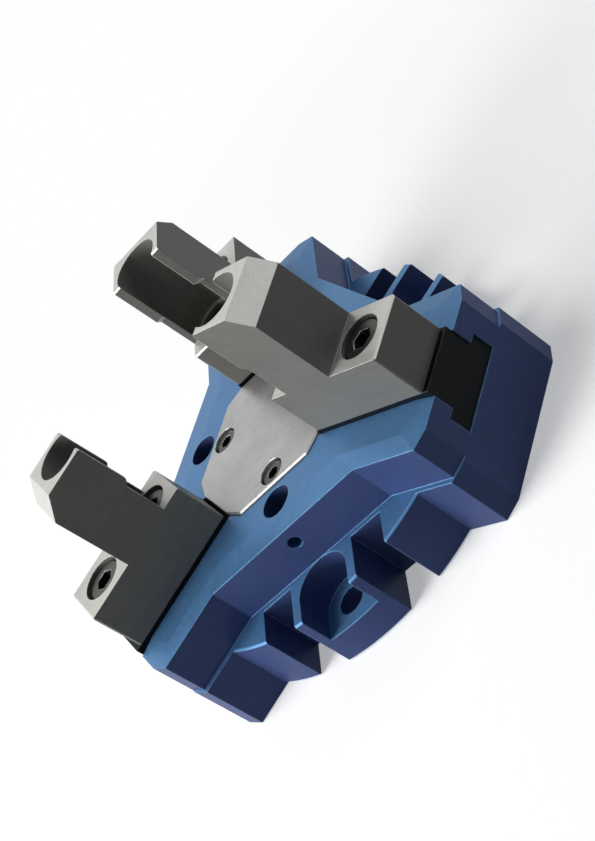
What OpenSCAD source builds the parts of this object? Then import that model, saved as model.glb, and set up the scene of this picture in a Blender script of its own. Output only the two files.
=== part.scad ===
// Three jaw centric gripper, pneumatic, with a wedge drive.
// +Z is the gripper's axis. The mounting face lies at z = 0 and the fingers point up.
// Jaw a slides along +X, jaw c at 120 degrees and jaw b at 240 degrees.
// The drive rests at its lower stop, where the jaws are fully in.

/* [Body] */
// Height from the mounting face to the front face
body_h = 36; // [34:0.5:44]
// Distance from the axis to the end of an arm
arm_r = 75.5; // [72:0.5:92]
// Width of an arm above the flange
arm_w = 52.6; // [48:0.2:60]
// How far an arm stands out on each side below the flange's height
ledge_w = 1.6; // [0.5:0.1:3]
// Radial length of the slanted corner of an arm
corner_r = 2.6; // [0.5:0.1:8]
// Width of the slanted corner of an arm
corner_w = 6; // [0.5:0.5:10]
// Distance from the axis to the flat walls between the arms
flat_r = 47; // [45:0.5:52]
// Radius of the round flange
flange_r = 65.5; // [60:0.5:71]
// Height of the round flange
flange_h = 20.8; // [15:0.1:25]
// Width of the shallow bevel round the front face, on the arms
face_cut = 6; // [3:0.5:8]
// Extra width of that bevel over the flat walls
face_cut_flat = 3.4; // [0:0.2:5]
// Depth of that bevel at the edge
face_drop = 0.8; // [0.3:0.1:1.5]

/* [Flange pockets] */
// Radius of the circle of rear mounting holes
mount_r = 56.5; // [54:0.1:60]
// Clearance hole for an M8 mounting screw
mount_hole_d = 9; // [6.6:0.1:11]
// Width of a screw pocket
pocket_w = 18.6; // [16:0.1:23]
// Thickness of the flange under a screw pocket
pocket_floor = 10; // [6:0.5:14]
// Thickness of the rib beside a screw pocket
rib_t = 3; // [2:0.1:4.5]
// Width of the open channel beyond each rib
channel_w = 11.5; // [8:0.5:13]
// Distance from the axis to the inner end of a channel
channel_r = 49; // [47:0.5:55]

/* [Front screw holes] */
// Radius of the circle of front mounting holes
front_r = 34; // [33:0.5:38]
// Clearance hole for an M6 mounting screw
front_hole_d = 6.6; // [5.5:0.1:7]
// Counterbore for the screw's head
front_bore_d = 10.4; // [10:0.1:12]
// Depth of the counterbore
front_bore_h = 22; // [15:0.5:26]

/* [Cylinder] */
// Bore of the cylinder
bore_d = 50; // [44:0.5:51]
// Piston travel
stroke = 5; // [3:0.5:6]
// Thickness of the piston
piston_t = 5.2; // [5:0.1:7]
// Diameter of the piston rod
rod_d = 22; // [18:0.5:24]
// Wall between the cylinder and the jaw guides
wall_t = 4; // [3.5:0.1:6]
// Thickness of the cylinder cover
cover_t = 3.5; // [3:0.1:6]
// Width of the shoulder that the cover rests against
cover_step = 2.8; // [2:0.1:3]
// Thickness of the retaining ring
ring_t = 1.6; // [1.2:0.1:2]
// Depth of the retaining ring's seat in the wall
ring_seat = 1.3; // [0.8:0.1:1.5]

/* [Wedge drive] */
// Jaw travel for each millimetre of piston travel
wedge_ratio = 0.8; // [0.5:0.05:1]
// Distance from the axis to the slanted end of a base jaw, at the hub's middle
wedge_r = 21; // [20:0.5:23]
// Radial length of the hook's neck
hook_neck = 3.2; // [2.5:0.1:4]
// Radial length of the hook's head
hook_head = 3.8; // [3:0.1:4.5]
// Width of the hook's neck
hook_neck_w = 5.5; // [4:0.1:7]
// Width of the hook's head
hook_head_w = 10; // [8:0.1:11]
// Radius of the hub's core
hub_core_r = 14; // [13:0.1:15]
// Width of each lobe of the hub
hub_lobe_w = 18.6; // [16:0.1:19.5]

/* [Jaw guides] */
// Width of the guide's foot
guide_w = 27; // [25:0.5:32]
// Height of the guide's foot
guide_h = 7.5; // [5:0.1:9]
// Height of the base jaw above the front face
jaw_lift = 1.6; // [1:0.1:3]
// Distance from the axis to the outer end of a base jaw
base_jaw_r = 75; // [72:0.5:90]

/* [Front cover] */
// Distance from the axis to the cover's flat ends
cap_r = 27; // [26.5:0.1:28]
// Width of a flat end
cap_end_w = 28; // [24:0.5:31]
// Distance from the axis to the edges that face the jaws
cap_jaw_r = 28.2; // [27:0.1:28.6]
// Width of an edge that faces a jaw
cap_jaw_w = 18.2; // [16:0.1:20]
// Thickness over the guides
cap_t = 4; // [3:0.1:5]
// Height above the front face
cap_proud = 0.8; // [0.4:0.1:1.4]
// Depth of the cover's round feet under its plate
cap_foot_h = 3; // [2:0.1:3.2]
// Radius of the circle of cover screws
cap_screw_r = 21.5; // [21:0.1:22]

/* [Top jaws] */
// Width of a top jaw
jaw_w = 20.7; // [18:0.1:25]
// Distance from the axis to a top jaw's inner end
jaw_in_r = 29.1; // [28.8:0.1:31]
// Length of a top jaw
jaw_len = 44; // [40:0.5:53]
// Thickness of a top jaw beside its finger
jaw_h = 17.1; // [14:0.1:21]
// Distance from the axis to the finger's gripping face
grip_r = 34.2; // [32:0.1:37]
// Depth of the relief below the gripping face
relief = 1.9; // [0.5:0.1:3]
// Height of the gripping face
grip_h = 16.6; // [10:0.1:25]
// Distance from the axis to the finger's outer face
finger_r = 54.8; // [51:0.1:56]
// Height of the finger above the underside of the jaw
finger_h = 48.6; // [40:0.1:62]
// Radial size of the bevel at the finger's end
tip_r = 5.7; // [2:0.1:8]
// Height of the bevel at the finger's end
tip_h = 6.2; // [2:0.1:9]
// Radius of the groove down the finger
groove_r = 8.5; // [7.3:0.1:8.8]

/* [Jaw screws] */
// Distance from the axis to the inner jaw screw
jaw_screw_r = 38.5; // [37.5:0.1:40]
// Distance between the two jaw screws
jaw_screw_pitch = 24.5; // [23:0.1:26]
// Counterbore for a jaw screw's head
jaw_bore_d = 14; // [13.6:0.1:14.4]
// Depth of that counterbore
jaw_bore_h = 9; // [8.5:0.1:11]
// Outer diameter of a locating sleeve
sleeve_d = 12; // [11:0.1:14]
// Length of a locating sleeve
sleeve_h = 5; // [3:0.5:7]

/* [Hidden] */
$fn = 96;

eps = 0.01;
cut = 1;             // how far a cutter runs past a face
slide_gap = 0.08;    // running gap between sliding flat faces
fit_gap = 0.05;      // radial gap of a running fit
seat_gap = 0.3;      // gap round a part that is let into another
hub_gap = 0.6;       // room round the hub
small_cut = 0.5;     // chamfer along small edges
cap_cut = 0.4;       // chamfer along the cover's upper edge

ANGLE_A = 0;
ANGLE_B = 240;
ANGLE_C = 120;
SECTORS = [60, 180, 300];

// Heights, from the mounting face up
ring_z = 1.1;
ring_gap = 0.1;      // play of the retaining ring in its groove
cover_z = ring_z + ring_t + ring_gap;
piston_z = cover_z + cover_t + 0.2;
ceiling_z = piston_z + piston_t + stroke + 0.3;
guide_z = ceiling_z + wall_t;
neck_z = guide_z + guide_h;
cap_z = body_h + cap_proud - cap_t;
cap_top = body_h + cap_proud;
hub_z = guide_z + 0.3;
hub_h = cap_z - 0.4 - stroke - hub_z;
hub_mid = hub_z + hub_h / 2;
hook_z0 = guide_z + slide_gap;
hook_z1 = cap_z - 0.2;
jaw_z = body_h + jaw_lift;

// Air passages, with a ring-shaped relief over the piston
relief_z = ceiling_z + 2.3;
relief_w = 2.5;
port_tap_d = 4.2;
port_depth = 8;
port_t = (guide_w / 2 + arm_w / 2 - corner_w) / 2;
passage_d = 2;
low_port_z = cover_z + cover_t + passage_d / 2 + 0.3;
high_port_z = relief_z - passage_d / 2;
passage_end_r = bore_d / 2 - relief_w / 2;

// Locating pin holes in the mounting face, tapped holes in the flat walls
pin_d = 6;
pin_depth = 8;
side_tap_d = 4.2;
side_tap_depth = 5.5;
side_tap_z = body_h - 6;

// Seals and the grooves that hold them
rod_seal_d = 2.1;
rod_groove = [2.2, 2.4];       // [depth, height]
cover_seal_d = 1.6;
cover_groove = [1.7, 2.2];
lip_seal_h = 1.9;
lip_groove = [2.2, 2];
land_h = 2.3;                  // height of the piston below its seal
land_step_h = 1.4;             // height of the piston's narrow lower end
land_step = 2.4;

// Socket head screws: [thread d, head d, head h, key size]
M5 = [5, 8.5, 5, 4];
M6 = [6, 10, 6, 5];
M8 = [8, 13, 8, 6];

cap_seat_z = cap_top - M5[2] - 0.7;
thread_floor = 2.5;  // metal left under the jaw screws' threads
jaw_hole_d = M8[0] + 0.8;
sleeve_gap = 0.1;    // play at each end of a locating sleeve

arm_half = arm_w / 2;
neck_w = jaw_w;
step_r = jaw_in_r - 0.1;

function turn(p, a) = [p.x * cos(a) - p.y * sin(a), p.x * sin(a) + p.y * cos(a)];

// Outline of the body, from the half width of an arm, the distance to the flat walls and to the ends
function outline(half, flat, end) = let (root = (flat - half * sin(60)) / cos(60))
    [for (a = [0, 120, 240]) for (p = [
        [root, -half], [end - corner_r, -half], [end, -half + corner_w],
        [end, half - corner_w], [end - corner_r, half], [root, half]]) turn(p, a)];
body_outline = outline(arm_half, flat_r, arm_r);
ledge_outline = outline(arm_half + ledge_w, flat_r, arm_r);
face_outline = outline(arm_half - face_cut, flat_r - face_cut - face_cut_flat, arm_r - face_cut);

// Outline of the front cover: three flat ends, three edges facing the jaws, slanted corners
cap_outline = [for (a = SECTORS) for (p = [
    [cap_r, -cap_end_w / 2], [cap_r, cap_end_w / 2],
    turn([cap_jaw_r, -cap_jaw_w / 2], 60), turn([cap_jaw_r, cap_jaw_w / 2], 60)]) turn(p, a)];

// Outline drawn in by d along its whole edge, or out where d is negative
function heading(p, q) = (q - p) / norm(q - p);
function inset(points, d) = let (n = len(points)) [for (i = [0 : n - 1])
    let (a = heading(points[(i + n - 1) % n], points[i]), b = heading(points[i], points[(i + 1) % n]))
    points[i] + d * [-(a.y + b.y), a.x + b.x] / (1 + a * b)];

module spin(a) {
    rotate([0, 0, a]) children();
}

module at_sectors() {
    for (a = SECTORS) spin(a) children();
}

// Upright prism on an outline. Its upper edge is bevelled towards an inner outline, by a body whose
// sides lean in and cross the outline where the bevel starts.
module bevelled(points, inner, h, drop) {
    n = len(points);
    over = 1.5;  // how far the bevel runs on past the upper face
    intersection() {
        linear_extrude(h) polygon(points);
        polyhedron(
            [for (p = inset(points, -h)) [p.x, p.y, -drop], for (p = points) [p.x, p.y, h - drop],
             for (i = [0 : n - 1]) let (p = points[i] + over * (inner[i] - points[i]))
                 [p.x, p.y, h + (over - 1) * drop]],
            [[for (i = [0 : n - 1]) i], [for (i = [n - 1 : -1 : 0]) 2 * n + i],
             for (ring = [0, n], i = [0 : n - 1]) let (j = (i + 1) % n)
                 [ring + i, ring + n + i, ring + n + j, ring + j]]);
    }
}

// Side view (radius, height) extruded to a centred width
module slab(width, points) {
    rotate([90, 0, 0]) linear_extrude(width, center = true) polygon(points);
}

module tube(outer_r, inner_r, h) {
    difference() {
        cylinder(r = outer_r, h = h);
        translate([0, 0, -cut]) cylinder(r = inner_r, h = h + 2 * cut);
    }
}

// Socket head cap screw, hanging down from its seat at z = 0
module cap_screw(size, len) {
    difference() {
        union() {
            cylinder(d = size[1], h = size[2] - small_cut);
            translate([0, 0, size[2] - small_cut])
                cylinder(d1 = size[1], d2 = size[1] - 2 * small_cut, h = small_cut);
            translate([0, 0, -len]) cylinder(d = size[0], h = len + eps);
        }
        translate([0, 0, size[2] / 2]) cylinder(d = size[3] / cos(30), h = size[2], $fn = 6);
    }
}

module tapped(size, depth) {
    translate([0, 0, -depth]) cylinder(d = size[0] + 2 * fit_gap, h = depth + cut);
}

// ---------------------------------------------------------------- housing

module flange() {
    rotate_extrude() polygon([
        [0, 0], [flange_r - small_cut, 0], [flange_r, small_cut],
        [flange_r, flange_h - small_cut], [flange_r - small_cut, flange_h], [0, flange_h]]);
}

// Screw pocket, ribs and open channels of one side of the flange
module flange_cuts() {
    translate([mount_r, 0, pocket_floor]) {
        cylinder(d = pocket_w, h = body_h);
        translate([0, -pocket_w / 2, 0]) cube([flange_r, pocket_w, body_h]);
    }
    translate([mount_r, 0, -cut]) cylinder(d = mount_hole_d, h = body_h);
    for (s = [-1, 1]) translate([channel_r, s * (pocket_w + channel_w) / 2 + s * rib_t, -cut])
        translate([0, -channel_w / 2, 0]) cube([flange_r, channel_w, body_h]);
}

// Guide for one base jaw, open at the arm's end and at the front
module guide_cut() {
    translate([0, -guide_w / 2, guide_z]) cube([arm_r + cut, guide_w, guide_h]);
    translate([0, -neck_w / 2, neck_z - eps]) cube([arm_r + cut, neck_w, body_h]);
}

module front_hole() {
    translate([front_r, 0, body_h - front_bore_h]) cylinder(d = front_bore_d, h = front_bore_h + cut);
    translate([front_r, 0, -cut]) cylinder(d = front_hole_d, h = body_h);
}

module cylinder_cuts() {
    translate([0, 0, cover_z]) cylinder(d = bore_d, h = ceiling_z - cover_z);
    translate([0, 0, ceiling_z - eps])
        tube(bore_d / 2, bore_d / 2 - relief_w, relief_z - ceiling_z + eps);
    translate([0, 0, -cut]) cylinder(r = bore_d / 2 + cover_step, h = cover_z + cover_t + cut);
    translate([0, 0, ring_z - ring_gap])
        cylinder(r = bore_d / 2 + cover_step + ring_seat, h = ring_t + 2 * ring_gap);
    cylinder(d = rod_d + 2 * fit_gap, h = guide_z + cut);
    translate([0, 0, guide_z - wall_t / 2 - rod_groove[1] / 2])
        cylinder(r = rod_d / 2 + rod_groove[0], h = rod_groove[1]);
    translate([0, 0, guide_z]) cylinder(r = hub_core_r + hub_gap, h = body_h);
}

// Air port in the end of the arm, with its passage to the cylinder
module port_cut(side, z) {
    translate([arm_r + cut, side * port_t, z]) rotate([0, -90, 0])
        cylinder(d = port_tap_d, h = port_depth + cut);
    translate([arm_r, side * port_t, z]) rotate([0, -90, 0])
        cylinder(d = passage_d, h = arm_r - sqrt(pow(passage_end_r, 2) - pow(port_t, 2)));
}

module housing() {
    color("steelblue") difference() {
        union() {
            flange();
            linear_extrude(flange_h) polygon(ledge_outline);
            bevelled(body_outline, face_outline, body_h, face_drop);
        }
        at_sectors() {
            flange_cuts();
            front_hole();
            translate([cap_screw_r, 0, cap_z - cap_foot_h]) {
                cylinder(d = M5[1] + 2.4, h = body_h);
                tapped(M5, 8);
            }
            translate([flat_r - side_tap_depth, 0, side_tap_z]) rotate([0, 90, 0])
                cylinder(d = side_tap_d, h = flange_r);
        }
        for (a = [ANGLE_A, ANGLE_B, ANGLE_C]) spin(a) guide_cut();
        cylinder_cuts();
        translate([0, 0, cap_z]) linear_extrude(body_h) polygon(inset(cap_outline, -seat_gap));
        spin(ANGLE_C) {
            port_cut(1, low_port_z);
            port_cut(-1, high_port_z);
        }
        for (a = [ANGLE_A, ANGLE_C]) spin(a) translate([mount_r, 0, -cut])
            cylinder(d = pin_d, h = pin_depth + cut);
    }
}

// ---------------------------------------------------------------- front cover

module front_cover() {
    color("gainsboro") difference() {
        union() {
            translate([0, 0, cap_z]) bevelled(cap_outline, inset(cap_outline, cap_cut), cap_t, cap_cut);
            at_sectors() translate([cap_screw_r, 0, cap_z - cap_foot_h])
                cylinder(d = M5[1] + 2, h = cap_foot_h + eps);
        }
        at_sectors() translate([cap_screw_r, 0, cap_seat_z]) {
            cylinder(d = M5[1] + 0.5, h = body_h);
            translate([0, 0, -body_h]) cylinder(d = M5[0] + 0.5, h = body_h + cut);
        }
    }
}

module front_cover_screws() {
    color("dimgray") at_sectors() translate([cap_screw_r, 0, cap_seat_z])
        cap_screw(M5, M5[2] + cap_foot_h);
}

// ---------------------------------------------------------------- cylinder

module cylinder_cover() {
    color("silver") difference() {
        translate([0, 0, cover_z]) cylinder(r = bore_d / 2 + cover_step - fit_gap, h = cover_t);
        translate([0, 0, cover_z + cover_t / 2 - cover_groove[1] / 2])
            tube(bore_d / 2 + cover_step + cut, bore_d / 2 + cover_step - cover_groove[0],
                cover_groove[1]);
        translate([0, 0, cover_z - cut]) cylinder(d = 5, h = cut + 1.5);
    }
}

module cylinder_cover_seal() {
    color("black") translate([0, 0, cover_z + cover_t / 2]) rotate_extrude()
        translate([bore_d / 2 + cover_step - cover_seal_d / 2 - 0.04, 0])
            circle(d = cover_seal_d, $fn = 32);
}

module retaining_ring() {
    outer = bore_d / 2 + cover_step + ring_seat - 0.1;
    color("dimgray") translate([0, 0, ring_z]) difference() {
        union() {
            tube(outer, outer - 2.8, ring_t);
            for (s = [-1, 1]) spin(s * 7) translate([outer - 4.2, 0, 0]) cylinder(r = 2.4, h = ring_t);
        }
        linear_extrude(3 * ring_t, center = true)
            polygon([[0, 0], turn([40, 0], -3), turn([40, 0], 3)]);
        for (s = [-1, 1]) spin(s * 7) translate([outer - 4.4, 0, -cut])
            cylinder(d = 2, h = ring_t + 2 * cut);
    }
}

module rod_seal() {
    color("black") translate([0, 0, guide_z - wall_t / 2]) rotate_extrude()
        translate([(rod_d + rod_seal_d) / 2 + 0.07, 0]) circle(d = rod_seal_d, $fn = 32);
}

// ---------------------------------------------------------------- piston

module piston() {
    r = bore_d / 2 - fit_gap;
    color("lightgray") difference() {
        union() {
            cylinder_between(bore_d / 2 - land_step, piston_z, piston_z + piston_t);
            cylinder_between(r, piston_z + land_step_h, piston_z + piston_t);
            cylinder_between(rod_d / 2, piston_z + cut, hub_z);
        }
        translate([0, 0, piston_z + land_h]) tube(r + cut, r - lip_groove[0], lip_groove[1]);
        translate([0, 0, hub_z]) tapped(M6, hub_z - piston_z - 3);
    }
}

module cylinder_between(r, z0, z1) {
    translate([0, 0, z0]) cylinder(r = r, h = z1 - z0);
}

// Lip seal: flat back, slanted lip that runs on the bore
module piston_seal() {
    r = bore_d / 2;
    inner = r - lip_groove[0];
    h = lip_seal_h;
    color("black") translate([0, 0, piston_z + land_h + (lip_groove[1] - h) / 2]) rotate_extrude()
        polygon([[inner, 0], [r - 0.3, 0], [r - 0.04, h / 2], [r - 0.04, h - 0.3],
            [r - 0.5, h], [inner, h]]);
}

// Radius of the slanted faces at height z, offset inwards by d
function slant(z, d) = wedge_r - wedge_ratio * (z - hub_mid) - d;

// Side view of a slanted bar between two offsets
function slanted_bar(z0, z1, d0, d1) = [
    [slant(z0, d1), z0], [slant(z0, d0), z0], [slant(z1, d0), z1], [slant(z1, d1), z1]];

module wedge_hub() {
    top = hub_z + hub_h;
    color("slategray") difference() {
        union() {
            cylinder_between(hub_core_r, hub_z, top);
            for (a = [ANGLE_A, ANGLE_B, ANGLE_C]) spin(a) slab(hub_lobe_w, [
                [0, hub_z], [slant(hub_z, 0.15), hub_z], [slant(top, 0.15), top], [0, top]]);
        }
        for (a = [ANGLE_A, ANGLE_B, ANGLE_C]) spin(a) {
            slab(hook_neck_w + 2 * slide_gap, slanted_bar(hub_z - cut, top + cut, -5, hook_neck + 1));
            slab(hook_head_w + 2 * slide_gap, slanted_bar(hub_z - cut, top + cut,
                hook_neck - slide_gap, hook_neck + hook_head + slide_gap));
        }
        translate([0, 0, hub_z - cut]) cylinder(d = M6[0] + 0.6, h = hub_h + 2 * cut);
        translate([0, 0, top - 3.5]) cylinder(d1 = M6[0] + 0.6, d2 = M6[0] + 7.6, h = 3.5 + eps);
    }
}

// Countersunk screw that ties the hub to the rod
module hub_screw() {
    top = hub_z + hub_h - 0.2;
    color("dimgray") difference() {
        union() {
            translate([0, 0, top - 3.2]) cylinder(d1 = M6[0], d2 = M6[0] + 6.2, h = 3.2);
            cylinder_between(M6[0] / 2, piston_z + 4, top - 3);
        }
        translate([0, 0, top - 2]) cylinder(d = 4 / cos(30), h = 3, $fn = 6);
    }
}

// ---------------------------------------------------------------- jaws

module base_jaw() {
    foot = guide_w - 2 * slide_gap;
    neck = neck_w - 2 * slide_gap;
    foot_top = neck_z - slide_gap;
    difference() {
        union() {
            slab(foot, [[slant(hook_z0, 0), hook_z0], [base_jaw_r, hook_z0],
                [base_jaw_r, foot_top], [slant(foot_top, 0), foot_top]]);
            slab(neck, [[slant(foot_top - cut, 0), foot_top - cut], [base_jaw_r, foot_top - cut],
                [base_jaw_r, jaw_z], [step_r, jaw_z], [step_r, hook_z1], [slant(hook_z1, 0), hook_z1]]);
            slab(hook_neck_w, slanted_bar(hook_z0, hook_z1, -eps, hook_neck + eps));
            slab(hook_head_w, slanted_bar(hook_z0, hook_z1, hook_neck, hook_neck + hook_head));
        }
        for (r = [jaw_screw_r, jaw_screw_r + jaw_screw_pitch]) translate([r, 0, jaw_z]) {
            tapped(M8, jaw_z - hook_z0 - thread_floor);
            translate([0, 0, -sleeve_h / 2 - sleeve_gap])
                cylinder(d = sleeve_d + 2 * fit_gap, h = sleeve_h);
        }
    }
}

// Side view of a top jaw: foot with an ear on each side, finger with relief and bevelled end
function jaw_side() = let (top = jaw_z + jaw_h, tip = jaw_z + finger_h, end = jaw_in_r + jaw_len,
    c = small_cut) [
    [jaw_in_r, jaw_z], [end, jaw_z], [end, top - c], [end - c, top], [finger_r, top],
    [finger_r, tip - tip_h], [finger_r - tip_r, tip], [grip_r + c, tip], [grip_r, tip - c],
    [grip_r, tip - grip_h], [grip_r + relief, tip - grip_h - relief], [grip_r + relief, top],
    [jaw_in_r + c, top], [jaw_in_r, top - c]];

module top_jaw() {
    tall = finger_h + 2 * cut;
    c = small_cut;
    difference() {
        intersection() {
            slab(jaw_w, jaw_side());
            translate([jaw_in_r, 0, jaw_z - cut]) linear_extrude(tall) polygon([
                [0, -jaw_w / 2 + c], [c, -jaw_w / 2], [jaw_len - c, -jaw_w / 2], [jaw_len, -jaw_w / 2 + c],
                [jaw_len, jaw_w / 2 - c], [jaw_len - c, jaw_w / 2], [c, jaw_w / 2], [0, jaw_w / 2 - c]]);
        }
        translate([jaw_screw_r, 0, jaw_z + jaw_h]) cylinder(r = groove_r, h = tall);
        for (r = [jaw_screw_r, jaw_screw_r + jaw_screw_pitch]) translate([r, 0, jaw_z]) {
            translate([0, 0, jaw_h - jaw_bore_h]) cylinder(d = jaw_bore_d, h = jaw_bore_h + cut);
            translate([0, 0, -cut]) cylinder(d = jaw_hole_d, h = jaw_h);
            translate([0, 0, -cut])
                cylinder(d = sleeve_d + 2 * fit_gap, h = cut + sleeve_h / 2 + sleeve_gap);
        }
    }
}

module jaw_screws() {
    for (r = [jaw_screw_r, jaw_screw_r + jaw_screw_pitch])
        translate([r, 0, jaw_z + jaw_h - jaw_bore_h]) cap_screw(M8, 18);
}

module locating_sleeves() {
    for (r = [jaw_screw_r, jaw_screw_r + jaw_screw_pitch])
        translate([r, 0, jaw_z - sleeve_h / 2]) tube(sleeve_d / 2, M8[0] / 2 + 0.3, sleeve_h);
}

module base_jaw_a() { color("#2b2d30") spin(ANGLE_A) base_jaw(); }
module base_jaw_b() { color("#2b2d30") spin(ANGLE_B) base_jaw(); }
module base_jaw_c() { color("#2b2d30") spin(ANGLE_C) base_jaw(); }
module top_jaw_a() { color("#a9a9a4") spin(ANGLE_A) top_jaw(); }
module top_jaw_b() { color("#a9a9a4") spin(ANGLE_B) top_jaw(); }
module top_jaw_c() { color("#a9a9a4") spin(ANGLE_C) top_jaw(); }
module jaw_screws_a() { color("dimgray") spin(ANGLE_A) jaw_screws(); }
module jaw_screws_b() { color("dimgray") spin(ANGLE_B) jaw_screws(); }
module jaw_screws_c() { color("dimgray") spin(ANGLE_C) jaw_screws(); }
module locating_sleeves_a() { color("silver") spin(ANGLE_A) locating_sleeves(); }
module locating_sleeves_b() { color("silver") spin(ANGLE_B) locating_sleeves(); }
module locating_sleeves_c() { color("silver") spin(ANGLE_C) locating_sleeves(); }

housing();
front_cover();
front_cover_screws();
cylinder_cover();
cylinder_cover_seal();
retaining_ring();
rod_seal();
piston();
piston_seal();
wedge_hub();
hub_screw();
base_jaw_a();
base_jaw_b();
base_jaw_c();
top_jaw_a();
top_jaw_b();
top_jaw_c();
jaw_screws_a();
jaw_screws_b();
jaw_screws_c();
locating_sleeves_a();
locating_sleeves_b();
locating_sleeves_c();
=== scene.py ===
import math

import bpy
from mathutils import Matrix, Vector


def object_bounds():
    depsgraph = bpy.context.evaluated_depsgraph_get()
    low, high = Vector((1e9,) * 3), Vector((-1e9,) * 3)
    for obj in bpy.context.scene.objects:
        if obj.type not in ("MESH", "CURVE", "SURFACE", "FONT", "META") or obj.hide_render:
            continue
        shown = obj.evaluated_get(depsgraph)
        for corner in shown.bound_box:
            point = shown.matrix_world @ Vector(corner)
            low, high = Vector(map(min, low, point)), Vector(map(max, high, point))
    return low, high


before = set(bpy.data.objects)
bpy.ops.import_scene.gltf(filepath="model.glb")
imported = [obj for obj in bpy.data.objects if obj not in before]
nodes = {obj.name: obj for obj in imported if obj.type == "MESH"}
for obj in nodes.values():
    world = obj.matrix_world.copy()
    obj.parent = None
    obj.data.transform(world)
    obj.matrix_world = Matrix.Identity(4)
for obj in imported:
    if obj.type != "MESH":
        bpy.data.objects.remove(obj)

cad_lo, cad_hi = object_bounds()
scene = bpy.context.scene
MM = 0.001
JAW_ANGLES = {"a": 0, "b": 240, "c": 120}      # degrees round the axis, each jaw's way out

# ---------------------------------------------------------------- node graphs


class NodeTree:
    """The node tree of a material or world, built with short calls."""

    def __init__(self, owner):
        owner.use_nodes = True
        self.nodes, self.links = owner.node_tree.nodes, owner.node_tree.links
        self.nodes.clear()

    def add(self, kind, settings=None, **inputs):
        """A new node. settings are its properties, and inputs are plain values or other nodes' outputs.

        An input is named by its label with underscores for spaces, or by its place as i0, i1 and so on.
        """
        node = self.nodes.new(kind)
        for name, value in (settings or {}).items():
            setattr(node, name, value)
        for name, value in inputs.items():
            by_place = name[0] == "i" and name[1:].isdigit()
            self.feed(node.inputs[int(name[1:]) if by_place else name.replace("_", " ")], value)
        return node

    def feed(self, socket, value):
        """Links the input to another node's output, or sets it to a plain value."""
        if isinstance(value, bpy.types.NodeSocket):
            self.links.new(value, socket)
        else:
            socket.default_value = value

    def math(self, operation, a, b=0.0, c=0.0, clamp=False):
        settings = {"operation": operation, "use_clamp": clamp}
        return self.add("ShaderNodeMath", settings, i0=a, i1=b, i2=c).outputs[0]

    def measure(self, operation, a, b=(0, 0, 0)):
        """A number from vectors: their DOT_PRODUCT, or the LENGTH of the first."""
        return self.add("ShaderNodeVectorMath", {"operation": operation}, i0=a, i1=b).outputs["Value"]

    def ramp(self, value, low, high, to_low=0.0, to_high=1.0):
        """A smooth step from to_low, where the value is low, to to_high, where it is high."""
        return self.add("ShaderNodeMapRange", {"interpolation_type": "SMOOTHSTEP"}, Value=value,
                        From_Min=low, From_Max=high, To_Min=to_low, To_Max=to_high).outputs[0]

    def mix(self, factor, a, b, blend="MIX"):
        """Two colours mixed. Several sockets of this node share a label, so they go by identifier."""
        node = self.add("ShaderNodeMix", {"data_type": "RGBA", "blend_type": blend})
        inputs = {socket.identifier: socket for socket in node.inputs}
        self.feed(inputs["Factor_Float"], factor)
        self.feed(inputs["A_Color"], a)
        self.feed(inputs["B_Color"], b)
        return next(socket for socket in node.outputs if socket.identifier == "Result_Color")

    def noise(self, place, size, stretch=(1, 1, 1), detail=2.0, rough=0.5, turn=0.0):
        """Noise with features of about size metres, stretched along axes turned by turn degrees about Z."""
        if turn:
            place = self.add("ShaderNodeVectorRotate", {"rotation_type": "Z_AXIS"}, Vector=place,
                             Angle=math.radians(-turn)).outputs[0]
        mapped = self.add("ShaderNodeMapping", {"vector_type": "POINT"}, Vector=place,
                          Scale=[1 / (size * s) for s in stretch]).outputs[0]
        return self.add("ShaderNodeTexNoise", {"noise_dimensions": "3D"}, Vector=mapped, Scale=1.0,
                        Detail=detail, Roughness=rough).outputs[0]

    def finish(self, shader, kind="Material"):
        """Makes that shader the tree's result."""
        self.add(f"ShaderNodeOutput{kind}", Surface=shader.outputs[0])


def colour(r, g, b):
    return (r, g, b, 1.0)


# ---------------------------------------------------------------- kinds of material

# The marks that machining leaves: the share, size and stretch of each noise that adds up to them
SATIN = [(0.5, 0.35 * MM, (1, 1, 1)), (0.3, 1.4 * MM, (1, 1, 1)), (0.2, 0.5 * MM, (30, 30, 1))]
MILLED = [(0.6, 0.25 * MM, (60, 1, 1)), (0.2, 0.5 * MM, (1, 1, 1)), (0.2, 0.9 * MM, (30, 1, 1))]
GROUND = [(0.55, 0.3 * MM, (60, 1, 1)), (0.25, 0.4 * MM, (1, 1, 1)), (0.2, 1.1 * MM, (20, 1, 1))]
TURNED = [(0.6, 0.3 * MM, (1, 1, 1)), (0.4, 1.2 * MM, (1, 1, 1))]

WALL, LEVEL = 0.25, 0.75           # how upright the normal is: up to WALL on walls, which are painted in shade, from LEVEL on level faces
NOISE_MIDDLE = 0.5                 # what noise is on average
FINE_CLOUDS = 0.45                 # strength of the fine clouds beside the coarse ones
CLOUD_RATIO = 9                    # how many times smaller the fine clouds are
BEND = (0.004, 0.12)               # bend of a rounded edge's normal where wear and painted highlight start and where they are full
PATCH_SIZE = 3.5 * MM              # of the patches in which edges are worn and painted with a highlight
PATCHES = (0.30, 0.62, 0.35, 1.0)  # their noise where wear and highlight are least and where most, and the amount there
MARK_GLOSS = 0.35                  # what marks, clouds and wear add to the roughness
CLOUD_GLOSS = 0.16
WEAR_GLOSS = -0.08
MARK_DEPTH = 0.05 * MM


def along_rings(tree, place):
    """The place as its distance from the axis and its height, so that marks on it run round the axis."""
    x, y, z = tree.add("ShaderNodeSeparateXYZ", i0=place).outputs
    across = tree.add("ShaderNodeCombineXYZ", i0=x, i1=y).outputs[0]
    return tree.add("ShaderNodeCombineXYZ", i0=tree.measure("LENGTH", across), i2=z).outputs[0]


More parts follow.
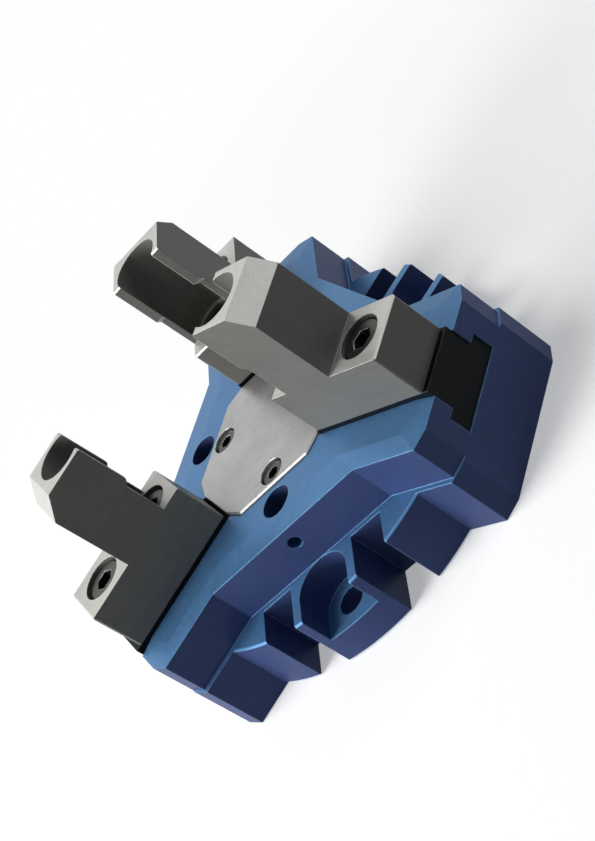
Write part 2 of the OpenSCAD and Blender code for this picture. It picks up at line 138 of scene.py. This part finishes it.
def metal(name, base, worn_and_highlit, roughness, grain, *, turn=0.0, rings=False, shaded_side=None, metallic=1.0,
          shaded_side_metallic=0.15, specular=0.5, shade=0.12, blotch=22 * MM, streak=0.5, bump=0.25,
          edge=0.35 * MM, wear_and_highlight=0.6):
    """A machined or treated metal.

    base is its colour on faces, and its worn colour that of its edges, which are worn in patches and carry a
    painted highlight.
    Where a side colour is given, upright walls have it and their own metallic, a painted shade darker than
    the level faces.
    grain is the marks of its machining, turned about Z or laid in rings round the axis. shade and blotch are
    the strength and size of its clouds, streak and bump the strength of its marks in colour and in relief,
    and edge and the wear strength the radius of its edges and how much they are worn and highlighted.
    """
    material = bpy.data.materials.new(name)
    tree = NodeTree(material)
    place = tree.add("ShaderNodeTexCoord").outputs["Object"]
    normal = tree.add("ShaderNodeNewGeometry").outputs["Normal"]

    tint = base
    # Upright walls get a darker colour and less metal gloss than level faces: painted shade.
    if shaded_side:
        upright = tree.math("ABSOLUTE", tree.measure("DOT_PRODUCT", normal, (0, 0, 1)))
        tint = tree.mix(tree.ramp(upright, WALL, LEVEL), shaded_side, base)
        metallic = tree.ramp(upright, WALL, LEVEL, shaded_side_metallic, metallic)

    track = along_rings(tree, place) if rings else place
    marks = 0.0
    for share, size, stretch in grain:
        mark = tree.noise(track, size, stretch, detail=3.0, rough=0.6, turn=turn)
        marks = tree.math("MULTIPLY_ADD", mark, share, marks)
    marks_swing = tree.math("SUBTRACT", marks, NOISE_MIDDLE)

    # Clouds and marks darken and lighten the colour, and leave it as it is on average.
    cloud = tree.noise(place, blotch, detail=3.0, rough=0.55)
    fine_cloud = tree.noise(place, blotch / CLOUD_RATIO, detail=2.0)
    clouds = tree.math("MULTIPLY_ADD", fine_cloud, FINE_CLOUDS, cloud)
    tone = tree.math("MULTIPLY_ADD", clouds, 2 * shade, 1 - 2 * NOISE_MIDDLE * (1 + FINE_CLOUDS) * shade)
    tone = tree.math("MULTIPLY_ADD", marks_swing, streak, tone)
    grey = tree.add("ShaderNodeCombineColor", Red=tone, Green=tone, Blue=tone).outputs[0]
    body = tree.mix(1.0, tint, grey, "MULTIPLY")

    # Edges are rounded in the shading only, and worn in patches; their worn colour also paints a highlight
    # along them.
    rounded = tree.add("ShaderNodeBevel", {"samples": 6}, Radius=edge).outputs[0]
    bend = tree.math("SUBTRACT", 1.0, tree.measure("DOT_PRODUCT", rounded, normal))
    patches = tree.ramp(tree.noise(place, PATCH_SIZE, detail=3.0, rough=0.65), *PATCHES)
    worn_and_highlit_edges = tree.math("MULTIPLY", tree.ramp(bend, *BEND), patches)
    worn_and_highlit_edges = tree.math("MULTIPLY", worn_and_highlit_edges, wear_and_highlight, clamp=True)

    gloss = tree.math("MULTIPLY_ADD", marks_swing, MARK_GLOSS, roughness)
    gloss = tree.math("MULTIPLY_ADD", tree.math("SUBTRACT", cloud, NOISE_MIDDLE), CLOUD_GLOSS, gloss)
    gloss = tree.math("MULTIPLY_ADD", worn_and_highlit_edges, WEAR_GLOSS, gloss, clamp=True)
    relief = tree.add("ShaderNodeBump", Strength=bump, Distance=MARK_DEPTH, Height=marks, Normal=rounded)

    # The worn colour along the edges is wear and a painted highlight.
    surface = tree.mix(worn_and_highlit_edges, body, worn_and_highlit)
    tree.finish(tree.add("ShaderNodeBsdfPrincipled", Base_Color=surface, Metallic=metallic, Roughness=gloss,
                         Normal=relief.outputs[0], Specular_IOR_Level=specular))
    return material


def rubber(name):
    """A black moulded seal, faintly cloudy, with a fine grain."""
    material = bpy.data.materials.new(name)
    tree = NodeTree(material)
    place = tree.add("ShaderNodeTexCoord").outputs["Object"]
    cloud = tree.noise(place, 4 * MM, detail=4.0)
    grain = tree.noise(place, 0.4 * MM, detail=2.0)
    tint = tree.mix(tree.ramp(cloud, 0.3, 0.7), colour(0.012, 0.012, 0.013), colour(0.03, 0.03, 0.031))
    relief = tree.add("ShaderNodeBump", Strength=0.3, Distance=0.03 * MM, Height=grain)
    tree.finish(tree.add("ShaderNodeBsdfPrincipled", Base_Color=tint, Normal=relief.outputs[0],
                         Roughness=tree.ramp(cloud, 0.2, 0.8, 0.5, 0.68)))
    return material


def paint(material, *names):
    """Gives the material to the named CAD nodes."""
    for name in names:
        for slot in nodes[name].material_slots:
            slot.material = material


# ---------------------------------------------------------------- finishes of the pieces

# The housing, the screws and the fingers have darker walls than level faces: painted shade, standing for the
# dark machine parts that stand round the real gripper and that this scene leaves out.
# The housing's lighter blue along its edges is wear and a painted highlight.
paint(metal("anodised_blue", colour(0.083, 0.204, 0.395), colour(0.19, 0.40, 0.62), 0.44, SATIN,
            shaded_side=colour(0.038, 0.060, 0.163), metallic=0.6, shaded_side_metallic=0.1, specular=0.14,
            shade=0.16, streak=0.7, bump=0.2, edge=0.5 * MM, wear_and_highlight=0.45),
      "housing")
paint(metal("cover_metal", colour(0.385, 0.388, 0.385), colour(0.70, 0.69, 0.68), 0.40, MILLED,
            turn=35, shade=0.22, blotch=12 * MM, streak=0.9, bump=0.22),
      "front_cover")
paint(metal("screw_black", colour(0.085, 0.083, 0.08), colour(0.50, 0.49, 0.47), 0.38, SATIN,
            shaded_side=colour(0.018, 0.018, 0.02), shaded_side_metallic=0.8, shade=0.2, bump=0.2, edge=0.5 * MM,
            wear_and_highlight=0.85),
      "front_cover_screws", "hub_screw", *(f"jaw_screws_{jaw}" for jaw in JAW_ANGLES))
for jaw, angle in JAW_ANGLES.items():
    paint(metal(f"finger_steel_{jaw}", colour(0.55, 0.55, 0.52), colour(0.62, 0.62, 0.60), 0.42, GROUND,
                turn=angle, shaded_side=colour(0.147, 0.146, 0.132), metallic=0.55, shaded_side_metallic=0.02,
                specular=0.12, shade=0.14, streak=0.8, bump=0.35),
          f"top_jaw_{jaw}")
    paint(metal(f"guide_steel_{jaw}", colour(0.006, 0.007, 0.008), colour(0.10, 0.10, 0.11), 0.50, GROUND,
                turn=angle, shade=0.25, bump=0.2, wear_and_highlight=0.45),
          f"base_jaw_{jaw}")
paint(metal("sleeve_steel", colour(0.58, 0.58, 0.59), colour(0.8, 0.8, 0.8), 0.28, TURNED, shade=0.08),
      *(f"locating_sleeves_{jaw}" for jaw in JAW_ANGLES))
paint(metal("bare_aluminium", colour(0.50, 0.505, 0.51), colour(0.80, 0.80, 0.81), 0.36, TURNED,
            rings=True, shade=0.1, bump=0.35),
      "cylinder_cover", "piston")
paint(metal("hub_steel", colour(0.40, 0.41, 0.43), colour(0.7, 0.7, 0.7), 0.28, GROUND, shade=0.1),
      "wedge_hub")
paint(metal("spring_steel", colour(0.07, 0.068, 0.065), colour(0.3, 0.3, 0.3), 0.42, SATIN),
      "retaining_ring")
paint(rubber("seal_rubber"), "cylinder_cover_seal", "rod_seal", "piston_seal")

# ---------------------------------------------------------------- floor and background

FLOOR_RADIUS = 4.0
FLOOR_SIDES = 96
FLOOR_GAP = 0.2 * MM           # between the object's underside and the floor
SHADOW_REACH = (0.12, 0.36)    # metres from the axis, where the shaded floor starts to fade and where it ends
FLOOR_LIFT = 0.36              # glow that brings the lit floor up to nearly white
WHITE = colour(1, 1, 1)


def seen_directly(tree):
    """1 for rays that see the background, straight or in a metal's gloss, and 0 for those that only light."""
    path = tree.add("ShaderNodeLightPath")
    seen = tree.math("MAXIMUM", path.outputs["Is Camera Ray"], path.outputs["Is Glossy Ray"])
    return tree.math("MAXIMUM", seen, path.outputs["Is Transmission Ray"])


def blend(tree, factor, first, second):
    """The first shader where the factor is 0, and the second where it is 1."""
    return tree.add("ShaderNodeMixShader", i0=factor, i1=first.outputs[0], i2=second.outputs[0])


def pale_floor():
    """Pale round the object, where it shows the shadow, and white like the background further out.

    Rays that only light the object meet a darker floor, so that its hollows and channels stay dark.
    """
    material = bpy.data.materials.new("pale_floor")
    tree = NodeTree(material)
    place = tree.add("ShaderNodeTexCoord").outputs["Object"]
    speckle = tree.noise(place, 3 * MM, detail=2.0)
    tint = tree.mix(tree.ramp(speckle, 0.2, 0.8), colour(0.70, 0.70, 0.705), colour(0.73, 0.73, 0.73))
    matt = tree.add("ShaderNodeBsdfDiffuse", Color=tint)
    lift = tree.add("ShaderNodeEmission", Color=WHITE, Strength=FLOOR_LIFT)
    near = tree.add("ShaderNodeAddShader", i0=matt.outputs[0], i1=lift.outputs[0])
    far = tree.add("ShaderNodeEmission", Color=WHITE, Strength=1.0)
    bounce = tree.add("ShaderNodeBsdfDiffuse", Color=colour(0.28, 0.28, 0.29))
    shown = blend(tree, tree.ramp(tree.measure("LENGTH", place), *SHADOW_REACH), near, far)
    tree.finish(blend(tree, seen_directly(tree), bounce, shown))
    return material


def place_object(name, data):
    """A new object in the scene that holds this mesh, light or camera."""
    obj = bpy.data.objects.new(name, data)
    scene.collection.objects.link(obj)
    return obj


corner_angles = [2 * math.pi * i / FLOOR_SIDES for i in range(FLOOR_SIDES)]
corners = [(FLOOR_RADIUS * math.cos(t), FLOOR_RADIUS * math.sin(t), 0) for t in corner_angles]
mesh = bpy.data.meshes.new("floor")
mesh.from_pydata(corners, [], [list(range(FLOOR_SIDES))])
floor = place_object("floor", mesh)
floor.location.z = cad_lo.z - FLOOR_GAP
floor.data.materials.append(pale_floor())

world = bpy.data.worlds.new("studio")
scene.world = world
tree = NodeTree(world)
dim = tree.add("ShaderNodeBackground", Color=colour(0.93, 0.96, 1.0), Strength=0.09)
white = tree.add("ShaderNodeBackground", Color=WHITE, Strength=1.0)
tree.finish(blend(tree, seen_directly(tree), dim, white), "World")

# ---------------------------------------------------------------- lights

centre = (cad_lo + cad_hi) / 2


def area_light(name, towards, distance, size, power, tint):
    """A square soft light at that distance in metres. towards points from the object to it."""
    light = bpy.data.lights.new(name, "AREA")
    light.size, light.energy, light.color = size, power, tint
    obj = place_object(name, light)
    way = Vector(towards).normalized()
    obj.location = centre + way * distance
    obj.rotation_mode = "QUATERNION"
    obj.rotation_quaternion = way.to_track_quat("Z", "Y")


area_light("key", (-0.33, -0.38, 0.87), distance=1.5, size=0.8, power=15.5, tint=(1.0, 0.99, 0.97))
area_light("front_fill", (-0.55, -1.0, 0.25), distance=1.2, size=0.6, power=14.0, tint=(0.97, 0.98, 1.0))
area_light("back_fill", (0.6, 1.0, 0.4), distance=1.3, size=0.6, power=3.6, tint=(0.85, 0.93, 1.0))

# ---------------------------------------------------------------- camera

VIEW_AZIMUTH = math.radians(-30.8)           # from +X towards +Y
VIEW_ELEVATION = math.radians(25.9)
VIEW_ROLL = math.radians(56.6)               # the gripper leans this far to the left in the picture
VIEW_DISTANCE = 0.50                         # from JAW_SEATS
JAW_SEATS = Vector((0, 0, 37.6 * MM))        # the middle of the plane that the fingers stand on
LOOK_AT = Vector((8 * MM, 2 * MM, 32 * MM))  # the point in the middle of the picture
FOCAL_LENGTH = 73.0

outwards = Vector((math.cos(VIEW_AZIMUTH) * math.cos(VIEW_ELEVATION),
                   math.sin(VIEW_AZIMUTH) * math.cos(VIEW_ELEVATION),
                   math.sin(VIEW_ELEVATION)))
eye = JAW_SEATS + outwards * VIEW_DISTANCE
aimed = (eye - LOOK_AT).to_track_quat("Z", "Y").to_matrix()
turned = aimed @ Matrix.Rotation(-VIEW_ROLL, 3, "Z")
camera = place_object("camera", bpy.data.cameras.new("camera"))
camera.data.lens = FOCAL_LENGTH
camera.data.clip_start, camera.data.clip_end = 0.01, 20
camera.matrix_world = Matrix.Translation(eye) @ turned.to_4x4()
scene.camera = camera
scene.view_settings.view_transform = "Standard"
